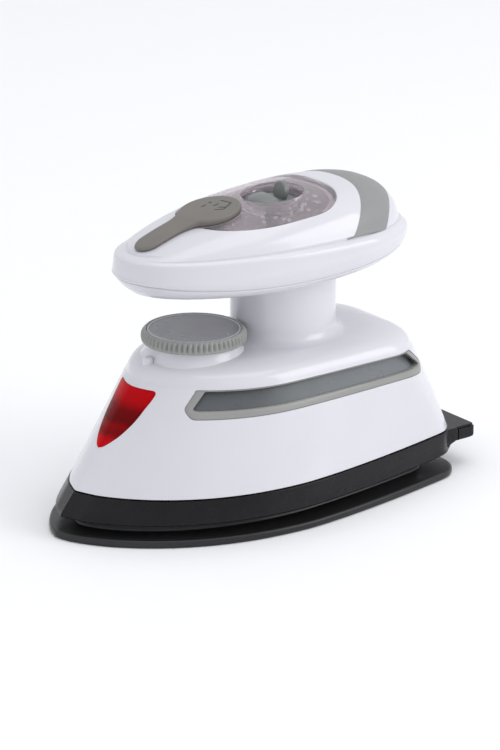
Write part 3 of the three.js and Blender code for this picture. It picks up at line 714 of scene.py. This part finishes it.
# ---- pilot lens ----
lens_heights = np.linspace(24, 47, 24)
lens_rings = [body_ring(z, -0.12) for z in lens_heights] + [body_ring(z, 2.0) for z in lens_heights[::-1]]
lens = new_object("pilot_jewel", skin(lens_rings, wrap=True))
carve(lens, nose_cutter(0.14), "INTERSECT")
for z in (31.5, 34.6, 37.7, 40.8, 43.9):
    rib = [body_ring(z + d, inset) for inset, d in ((1.9, 0.5), (1.9, -0.5), (3.2, -0.35), (3.2, 0.35))]
    rib = new_object("rib", skin(rib, wrap=True))
    carve(rib, nose_cutter(1.2), "INTERSECT")
    points = np.array([v.co for v in rib.data.vertices]) / MM
    faces = [tuple(f.vertices) for f in rib.data.polygons]
    bpy.data.objects.remove(rib)
    carve(lens, (points, faces), "UNION")
settle(lens, RED_LENS_PAINTED_LIGHT, "iron", ["pilot_lens"])

# ---- cord gland ----
gland_profile = [
    (4.2, -5), (4.25, 0.3), (6.1, 0.3), (6.4, 0.55), (6.45, 1.5), (6.1, 2.0), (5.2, 2.2), (4.9, 2.35),
    (5.0, 2.55), (4.6, 2.8), (3.3, 2.8), (2.8, 2.6), (CORD.bore, 2.2), (CORD.bore, -5)]
add("cord_grommet", on_rear_wall(lathe(gland_profile, 0, 72, ring=True)), RUBBER, "iron",
    ["cord_gland"])

# ---- dial ----
KNURL = 600


def knurl_ring(inset, depth, z):
    """Ring of the dial's rim with scallops that dip by depth between the teeth."""
    a = np.arange(KNURL) / KNURL * 2 * math.pi
    wave = np.abs(np.sin(a * DIAL.teeth / 2)) ** 1.2
    r = DIAL.r - inset - depth * (1 - wave)
    return np.column_stack([r * np.sin(a), DIAL.y - r * np.cos(a), np.full(KNURL, z)])


low = DIAL.low
face_z = low + 3.4 * DIAL.rise
hub = DIAL.r - 3.3
RIM_PROFILE = (  # inset from the teeth, depth of the scallops, height
    (3.4, 0, 0.03), (1.2, 0, 0), (0.5, 0, 0.1), (0.2, 0, 0.35), (0.15, 0, 0.7), (0.12, 0.2, 0.82),
    (0.03, 0.7, 1.05), (0, 0.95, 1.6), (0.04, 0.95, 2.2), (0.25, 0.8, 2.7), (0.6, 0.5, 3.1),
    (0.95, 0.2, 3.4), (1.25, 0, 3.62), (1.55, 0, 3.7), (1.8, 0, 3.66), (1.92, 0, 3.5), (1.96, 0, 2.95),
    (12, 0, 2.9), (hub, 0, 2.85), (hub, 0, 0.4), (hub - 2.1, 0, 0.4), (hub - 2.3, 0, 2.0), (3.4, 0, 2.0))
rim_rings = [knurl_ring(inset, depth, low + z * DIAL.rise) for inset, depth, z in RIM_PROFILE]
add("dial_rim", skin(rim_rings, wrap=True), DIAL_GREY, "dial", ["temperature_dial"], sharp=50)
plate_profile = [
    (3.6, low + 3.36), (15.2, low + 3.36), (15.38, low + 3.46), (15.35, face_z - 0.12),
    (15.2, face_z - 0.03), (14.7, face_z - 0.05), (7, face_z - 0.01), (0.02, face_z)]
add("dial_plate", lathe(plate_profile, DIAL.y, 180), FACE_GREY, "dial", ["dial_face"])
ring_profile = [(r, face_z + z) for r, z in (
    (14.8, -0.1), (14.82, 0.1), (14.95, 0.2), (15.15, 0.2), (15.28, 0.1), (15.3, -0.1))]
add("dial_ring", lathe(ring_profile, DIAL.y, 200, ring=True), RING_SILVER, "dial")


def bar(length, width, centre, angle, z, thick):
    """Small raised bar with rounded ends on a flat face."""
    a = np.linspace(-math.pi / 2, math.pi / 2, 9)
    end = np.column_stack([length / 2 - width / 2 + width / 2 * np.cos(a), width / 2 * np.sin(a)])
    outline = np.vstack([end, -end])
    c, s = math.cos(angle), math.sin(angle)
    placed = outline @ np.array([[c, s], [-s, c]]) + centre
    inner = outline * 0.82 @ np.array([[c, s], [-s, c]]) + centre
    return skin([at(placed, z - 0.1), at(placed, z + thick * 0.6), at(inner, z + thick)])


marks = []
for i in range(10):
    a = math.radians(-100 + 24 * i)
    centre = np.array([12.6 * math.sin(a), DIAL.y - 12.6 * math.cos(a)])
    marks.append(bar(1.3 + 0.9 * (i % 3 == 0), 0.5, centre, math.pi / 2 - a + math.pi, face_z - 0.03, 0.12))
for i in range(3):
    for dot in range(i + 1):
        a = math.radians(-64 + 48 * i + 6 * (dot - i / 2))
        centre = np.array([8.6 * math.sin(a), DIAL.y - 8.6 * math.cos(a)])
        marks.append(bar(0.75, 0.7, centre, 0, face_z - 0.03, 0.12))
add("dial_marks", joined(*marks), MARK, "dial")

# ---- handle ----
def sag_line(share, base):
    """Height that follows the parting line's sag by share, and the handle's pitch for the rest."""
    return lambda y: base + share * sag(y) + (1 - share) * pitch(y)


wall = HANDLE.wall
under = [handle_ring(inset, sag_line(share, base)) for inset, share, base in (
    (9, 0.65, HANDLE.low + 0.45), (5, 0.8, HANDLE.low + 0.95), (2.6, 0.93, HANDLE.low + 2.1),
    (1.25, 1, HANDLE.part - 0.5), (1.15, 1, HANDLE.part - 0.05))]
neck_foot = neck_ring(1.7, 0)
root = sag_line(0.5, HANDLE.low + 0.1)(neck_foot[:, 1])
between = at((neck_foot + under[0]) / 2, (root + under[0][:, 2]) / 2)
lower_rows = [neck_ring(0, NECK.top + 0.06), neck_ring(0, root - 1.0), neck_ring(0.25, root - 0.45),
              neck_ring(0.8, root - 0.1), at(neck_foot, root), *smooth_rows([between, *under], 6)]
inner_lower = [handle_ring(inset, sag_line(share, base)) for inset, share, base in (
    (1.5, 1, HANDLE.part + 0.3), (2.7, 1, HANDLE.part + 0.3), (3.4, 1, HANDLE.part - 1),
    (5, 0.93, HANDLE.low + 3.6), (9, 0.65, HANDLE.low + 2.6))]
inner_lower += [neck_ring(0.5, root + 2), neck_ring(-2, root + 2), neck_ring(-2, NECK.top + 0.06)]
lower = new_object("grip_underside", skin(lower_rows + inner_lower, wrap=True))
carve(lower, skin([neck_ring(-1.5, NECK.top + 0.1), neck_ring(-1.5, 77.6)]), "UNION")
carve(lower, joined(lathe([(5.6, 70), (5.6, 90)], KNOB.y, 64), lathe([(2.6, 70), (2.6, 90)], 24, 48),
                    *(lathe([(1.7, 70), (1.7, 90)], NECK.y + d, 32) for d in (-12.2, 12.2))))
settle(lower, WHITE, "iron", ["handle_lower_shell"])

ledge = handle_ring(2.8, HANDLE.ledge)
hole = egg_plan(WINDOW)
side_rows = smooth_rows([
    handle_ring(1.0, sag_line(1, HANDLE.part + SEAM)), handle_ring(0.35, sag_line(0.75, 82.3)),
    handle_ring(0, sag_line(0.5, 84.4)), handle_ring(0.12, sag_line(0.2, 86.4)),
    handle_ring(0.75, 88.35), handle_ring(1.75, 89.35)], 5)
upper_rows = [handle_ring(1.3, sag_line(1, HANDLE.part + SEAM + 0.02)), *side_rows,
              handle_ring(2.2, HANDLE.ledge - 0.1), ledge]
for s in np.linspace(0, 1, 46)[1:] ** 1.5:
    upper_rows.append(on_dome(ledge[:, :2] * (1 - s) + hole * s))
upper_rows[-1][:, 2] -= 0.12
upper_rows.insert(-1, on_dome(ledge[:, :2] * 0.012 + hole * 0.988))
upper_rows.append(on_dome(egg_plan(WINDOW, 0.12), -0.35))
upper_rows.append(on_dome(egg_plan(WINDOW, 0.12), -wall))
inner_edge = handle_ring(5.0, 91.0)
for s in np.linspace(1, 0, 20)[1:-1]:
    upper_rows.append(on_dome(inner_edge[:, :2] * (1 - s) + hole * s, -wall))
upper_rows += [inner_edge, handle_ring(3.2, 88), handle_ring(2.4, 85.5),
               handle_ring(2.3, sag_line(0.75, 83)), handle_ring(2.6, sag_line(1, HANDLE.part + 0.7)),
               handle_ring(2.6, sag_line(1, HANDLE.part + SEAM + 0.1))]
add("grip_dome", skin(upper_rows, wrap=True), WHITE, "iron", ["handle_upper_shell"],
    sharp=40)

# ---- window and tank ----
def pane_rows(inset, lift, steps):
    """Rings across the window's area, from its edge to its middle line."""
    spine = WINDOW.half - inset - 0.4
    return [on_dome(egg_plan(WINDOW, inset + spine * s, 200), lift) for s in np.linspace(0, 1, steps)]


gap = 0.3
edge = egg_plan(WINDOW, gap, 200)
pane = new_object("smoked_window", skin(
    pane_rows(gap + 0.25, -1.9, 16)[::-1] + [on_dome(edge, -1.7), on_dome(edge, -0.3),
                                             on_dome(egg_plan(WINDOW, gap + 0.12, 200), -0.12)]
    + pane_rows(gap + 0.5, -0.06, 24)))
filler_hole = lathe([(6.4, 80), (6.4, 120)], CAP.y, 72)
knob_hole = lathe([(KNOB.r + gap, 80), (KNOB.r + gap, 120)], KNOB.y, 120)
carve(pane, joined(filler_hole, knob_hole))
settle(pane, SMOKE, "iron", ["tank_window"])

tank_top = -WINDOW.t - 0.35
tank_outside = [at(egg_plan(WINDOW, inset, 160), z) for inset, z in ((3.2, 84), (1.8, 84.5), (1.3, 86))]
tank_lip = [on_dome(egg_plan(WINDOW, inset, 160), tank_top) for inset in (1.2, 2.4)]
tank_inside = [at(egg_plan(WINDOW, inset, 160), z) for inset, z in ((2.6, 87), (3.6, 85.5))]
tank = new_object("water_tray", skin(tank_outside + tank_lip + tank_inside))
carve(tank, lathe([(2, 80), (2, 90)], KNOB.y, 48))
settle(tank, TANK, "iron", ["water_tank"])

# ---- filler cap ----
def cap_outline(inset=0.0):
    """Round cap with a strap toward the nose, seen from above."""
    r, half = CAP.r - inset, CAP.tail_half - inset
    a = np.radians(np.linspace(-58, 238, 90))
    disc = np.column_stack([r * np.cos(a), CAP.y + r * np.sin(a)])
    root = np.array([-half, CAP.y - CAP.r]) - [(0.9, -0.2), (0.25, 1.2), (0, 3.0)]
    strap = evenly(np.vstack([root[-1:], [[-half, CAP.tail + CAP.tail_half]]]), 24)[1:-1]
    b = np.radians(np.linspace(180, 360, 32))
    tip = np.column_stack([half * np.cos(b), CAP.tail + CAP.tail_half + half * np.sin(b)])
    return softened(np.vstack([disc, root, strap, tip, strap[::-1] * (-1, 1), root[::-1] * (-1, 1)]), 3)


def cap_lift(points):
    """The strap thins toward its tip."""
    along = np.clip((points[:, 1] - CAP.tail) / (CAP.y - CAP.r - CAP.tail), 0, 1)
    return 1.35 + (CAP.lift - 1.35) * along


def cap_z(points):
    """Top of the cap: flat over the disc, following the dome along the strap."""
    slope = (crest(CAP.y + 8) - crest(CAP.y - 8)) / 16
    disc = crest(CAP.y) + CAP.lift + 0.1 + slope * (points[:, 1] - CAP.y)
    strap = dome_z(points[:, 0] * 0.35, points[:, 1]) + cap_lift(points)
    t = np.clip((points[:, 1] - (CAP.y - CAP.r - 2)) / 6, 0, 1)
    t = t * t * (3 - 2 * t)
    return strap * (1 - t) + disc * t


def cap_ring(inset, drop, floor=None):
    """Ring of the cap drop below its top face, or floor above the dome where floor is given."""
    outline = cap_outline(inset)
    top = cap_z(outline) - drop
    if floor is not None:
        top = np.maximum(dome_z(outline[:, 0], outline[:, 1]) + floor, top - 6)
    return at(outline, top)


def fill_rings(ring, centre_line, steps):
    """Rings shrinking from an outline onto its centre line."""
    rows = []
    for s in np.linspace(0, 1, steps)[1:]:
        rows.append(ring * (1 - s) + centre_line * s)
    return rows


outline = cap_outline(0.9)
spine = np.column_stack([np.zeros(len(outline)), np.clip(outline[:, 1], CAP.tail + CAP.tail_half, CAP.y)])
top_rings = [at(r, cap_z(r)) for r in fill_rings(outline, spine, 14)]
under_outline = cap_outline(0.35)
under_rings = [on_dome(r, 0.3) for r in fill_rings(under_outline, spine, 10)]
side_rings = [cap_ring(0.35, 0, 0.3), cap_ring(0.08, 0, 0.55), cap_ring(0, 0.75), cap_ring(0.1, 0.4),
              cap_ring(0.38, 0.12), cap_ring(0.9, 0.0)]
cap = new_object("filler_lid", skin(under_rings[::-1] + side_rings + top_rings, caps=False))
settle(cap, TAUPE, "cap", ["filler_cap"], sharp=50)
plug_top = crest(CAP.y) + 0.6
plug_profile = [(0, 94.6), (3.4, 94.6), (3.9, 95.1), (4.0, 96.2), (3.8, 97.0), (4.1, 97.8), (4.1, plug_top),
                (0, plug_top)]
add("filler_plug", lathe(plug_profile, CAP.y, 72), TAUPE, "cap")


def ribbon(points, width):
    """Thin closed strip along a flat path, standing a little above the cap."""
    points = np.array(points, float)
    along = np.gradient(points, axis=0)
    along /= np.linalg.norm(along, axis=1)[:, None]
    across = np.column_stack([-along[:, 1], along[:, 0]]) * width / 2
    rails = [points - across, points + across]
    top = np.stack([at(r, cap_z(r) + 0.05) for r in rails])
    return slab(top, top - (0, 0, 0.2))


CUP_ICON = [(-3.6, -2.6), (-2.2, 2.0), (2.8, 2.0), (3.7, -1.0)]
icon_turn = math.radians(-64)
turn = np.array([[math.cos(icon_turn), math.sin(icon_turn)], [-math.sin(icon_turn), math.cos(icon_turn)]])


def icon(points, count=24):
    """Path of the cap's icon, turned and placed on the disc."""
    return evenly(np.array(points, float), count) @ turn + (1.9, CAP.y + 3.9)


ICON_STROKES = (  # start, end, width
    ((1.3, 2.0), (1.7, -0.6), 0.42), ((-1.0, -2.0), (0.9, -2.9), 0.5),
    ((-1.8, -5.2), (-1.0, -5.5), 0.8), ((0.4, -5.9), (2.2, -6.6), 0.5))
icon_parts = [ribbon(icon(CUP_ICON, 60), 0.42)]
for start, end, width in ICON_STROKES:
    icon_parts.append(ribbon(icon([start, end]), width))
# The icon strips are dark taupe: painted shade standing for the engraved lines of the icon.
add("lid_icon", joined(*icon_parts), TAUPE_SHADOW, "cap")
collar_profile = ((5, 91.5), (6, 91.5), (6, 96.4), (5.9, 96.8), (5.1, 96.8), (5, 96.6))
add("filler_collar", lathe(collar_profile, CAP.y, ring=True), COLLAR, "iron",
    ["filler_neck"])
flange_inner = circle(6.7, 120, CAP.y)
flange_rings = [on_dome(flange_inner, 0.05), on_dome(flange_inner, 0.22)]
flange_rings += [on_dome(circle(CAP.r + r, 120, CAP.y - 0.2), lift) for r, lift in (
    (-0.1, 0.26), (0.15, 0.15), (0.2, 0.02))]
add("filler_flange", skin(flange_rings, wrap=True), COLLAR, "iron")

# ---- steam knob ----
seat_top = crest(KNOB.y) - 2.4
floor = KNOB.floor
well_profile = (
    (3.1, floor), (KNOB.r - 0.5, floor), (KNOB.r, floor + 0.5), (KNOB.r, seat_top - 0.3),
    (KNOB.r - 0.2, seat_top), (KNOB.r - 0.6, seat_top), (KNOB.r - 0.9, seat_top - 0.4),
    (KNOB.r - 1.1, floor + 1.8), (KNOB.r - 1.7, floor + 1), (3.1, floor + 1))
add("knob_well", lathe(well_profile, KNOB.y, 120, ring=True), SEAT, "iron",
    ["steam_knob_seat"])
base = floor + 2.6
disc_profile = [
    (0, 91.8), (2.5, 91.8), (2.5, base), (7.9, base), (8.3, base + 0.25), (8.4, base + 0.6),
    (8.1, base + 0.95), (7.6, base + 1.05), (0, base + 1.1)]
knob = new_object("steam_control", lathe(disc_profile, KNOB.y, 120))


def scoop(radius, height, wall):
    """Half dome, open toward the rear, with a thick lip."""
    rows = []
    for r, h in ((radius, height), (radius - wall, height - wall)):
        side = []
        for a in np.linspace(0, math.pi / 2, 14):
            around = np.linspace(-0.56 * math.pi, 0.56 * math.pi, 41)
            flat = r * math.cos(a)
            side.append(np.column_stack([flat * np.sin(around), KNOB.y - 2.4 - flat * np.cos(around) * 1.02,
                                         np.full(41, base + 0.9 + h * math.sin(a))]))
        rows.append(np.array(side))
    return slab(*rows)


carve(knob, scoop(KNOB.lobe, 101 - base, 1.0), "UNION")
tab = []
for thickness in (-1.0, -0.75, 0.75, 1.0):
    shrink = 0.28 if abs(thickness) > 0.9 else 0
    a = np.linspace(-0.22 * math.pi, 1.22 * math.pi, 40)
    w, centre = KNOB.tab - shrink, KNOB.top - KNOB.tab
    top = np.column_stack([w * np.cos(a), centre + w * np.sin(a)])
    foot = np.array([(-1.9 + shrink, base + 0.6), (1.9 - shrink, base + 0.6)])
    outline = np.vstack([top, foot])
    lean = (outline[:, 1] - base) * 0.14
    tab.append(np.column_stack([outline[:, 0], KNOB.y + 3.2 + thickness + lean, outline[:, 1]]))
carve(knob, skin(tab), "UNION")
settle(knob, KNOB_GREY, "knob", ["steam_knob"])

# ---- droplets under the window ----
droplets = []
random = np.random.default_rng(7)
while len(droplets) < 90:
    x, y = random.uniform(-17, 19), random.uniform(-16, 24)
    r = random.uniform(0.25, 0.85)
    clear_of_cap = math.hypot(x, y - CAP.y) > 7.6 + r
    clear_of_knob = math.hypot(x, y - KNOB.y) > KNOB.r + 0.8 + r
    reach = 33 if y < WINDOW.wide else 15
    inside = (abs(x) / (WINDOW.half - 3)) ** 2.6 + (abs(y - WINDOW.wide) / reach) ** 2.6 < 1
    if clear_of_cap and clear_of_knob and inside:
        top = float(dome_z(np.array([x]), np.array([y]))[0]) - 2.0
        rows = [at(circle(r * math.cos(a) + 0.01, 14, y, x), top - 0.55 * r + 0.55 * r * math.sin(a))
                for a in np.linspace(-math.pi / 2, math.pi / 2, 8)]
        droplets.append(skin(rows))
add("window_droplets", joined(*droplets), DROPS, "iron", sharp=80)

# ---- accent band ----
def over_rear(x, y, reach, power):
    """Half of an oval over the rear of the handle, from its right end to its left end."""
    a = np.linspace(0, math.pi, 400)
    c, s = np.cos(a), np.sin(a)
    return evenly(np.column_stack([x * np.sign(c) * np.abs(c) ** power, y + reach * s**power]), 200)


def ridge_x(y):
    ridge = egg_plan(HANDLE, 2.7)[:RING // 2 + 1]
    return np.interp(y, ridge[:, 1], ridge[:, 0])


inner_edge = over_rear(BAND.x, BAND.y, BAND.reach, 1.0)
outer_edge = over_rear(BAND.edge_x, BAND.edge_y, BAND.edge_reach, 1.15)
along = np.linspace(0, 1, 200)
near_end = np.clip(1 - 12 * np.minimum(along, 1 - along), 0, 1) ** 2
band_grid = []
for s in np.linspace(0, 1, 14):
    row = inner_edge * (1 - s) + outer_edge * s
    row[:, 0] += np.sign(row[:, 0]) * (ridge_x(row[0, 1]) - row[0, 0]) * near_end
    band_grid.append(row)
edge_lift = (0.02, 0.2, 0.26, *[0.27] * 8, 0.26, 0.2, 0.02)
top = np.array([on_dome(r, h) for r, h in zip(band_grid, edge_lift)])
bottom = np.array([on_dome(r, -0.25) for r in band_grid])
add("accent_inlay", slab(top, bottom), ACCENT_GREY, "iron", ["rear_accent_panel"])

# ---- finishes of the CAD pieces that stay ----
KEPT = {
    "heating_element": SHEATH, "element_pin_right": STEEL, "element_pin_left": STEEL,
    "chamber_gasket": GASKET, "steam_chamber_cover": COVER, "thermostat": BIMETAL,
    "thermal_fuse": CERAMIC, "pilot_lamp": LAMP, "heat_shield": COVER, "sole_screw_front": STEEL,
    "sole_screw_rear_right": STEEL, "sole_screw_rear_left": STEEL, "terminal_block": CERAMIC,
    "thermostat_shaft": STEEL, "handle_screw_front": STEEL, "handle_screw_rear": STEEL,
    "valve_needle": BRASS, "valve_spring": STEEL, "valve_seat": CERAMIC, "water_tube": TUBE}
for node, material in KEPT.items():
    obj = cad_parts[node]
    obj.data.materials.clear()
    obj.data.materials.append(material)

# ---- floor, light and camera ----
PALE = finish("pale_floor", (0.95, 0.95, 0.955), 0.75, mottle=0.004, grain=500, bump=0.01)
profile = [(r, 0) for r in np.linspace(0, FLOOR.flat, 12)]
for a in np.linspace(0.1, 1.3, 14):
    profile.append((FLOOR.flat + FLOOR.sweep * math.sin(a), FLOOR.sweep * (1 - math.cos(a))))
profile += [(r + 4, z - 4) for r, z in profile[:0:-1]] + [(0, -4)]
stage = new_object("floor", lathe(profile, 0, 96))
stage.data.materials.append(PALE)
stage.data.shade_smooth()

world = bpy.data.worlds.new("studio")
bpy.context.scene.world = world
world.use_nodes = True
world.node_tree.nodes["Background"].inputs["Color"].default_value = (0.95, 0.96, 1.0, 1)
world.node_tree.nodes["Background"].inputs["Strength"].default_value = 0.83


def soft_light(name, place, size, power, colour=(1, 1, 1)):
    """Square soft box at a place in metres, aimed at the middle of the iron."""
    data = bpy.data.lights.new(name, "AREA")
    data.size = size
    data.energy = power
    data.color = colour
    obj = bpy.data.objects.new(name, data)
    obj.location = place
    obj.rotation_euler = (Vector((0, 0, 0.05)) - Vector(place)).to_track_quat("-Z", "Y").to_euler()
    bpy.context.scene.collection.objects.link(obj)


soft_light("top_box", (0.1, 0.2, 1.5), 1.1, 4.5)
soft_light("right_box", (1.0, 0.9, 0.7), 0.9, 7)
soft_light("left_box", (-0.5, -1.2, 0.7), 0.8, 0.4)

scene = bpy.context.scene
scene.view_settings.view_transform = "Standard"
camera_data = bpy.data.cameras.new("camera")
camera_data.sensor_fit = "VERTICAL"
camera_data.sensor_height = 36
camera_data.lens = CAMERA.lens
camera_data.clip_start = 0.05
camera_data.clip_end = 20
camera = bpy.data.objects.new("camera", camera_data)
camera.location = CAMERA.place
camera.rotation_euler = (math.radians(90 - CAMERA.dip), 0, math.radians(CAMERA.turn))
scene.collection.objects.link(camera)
scene.camera = camera
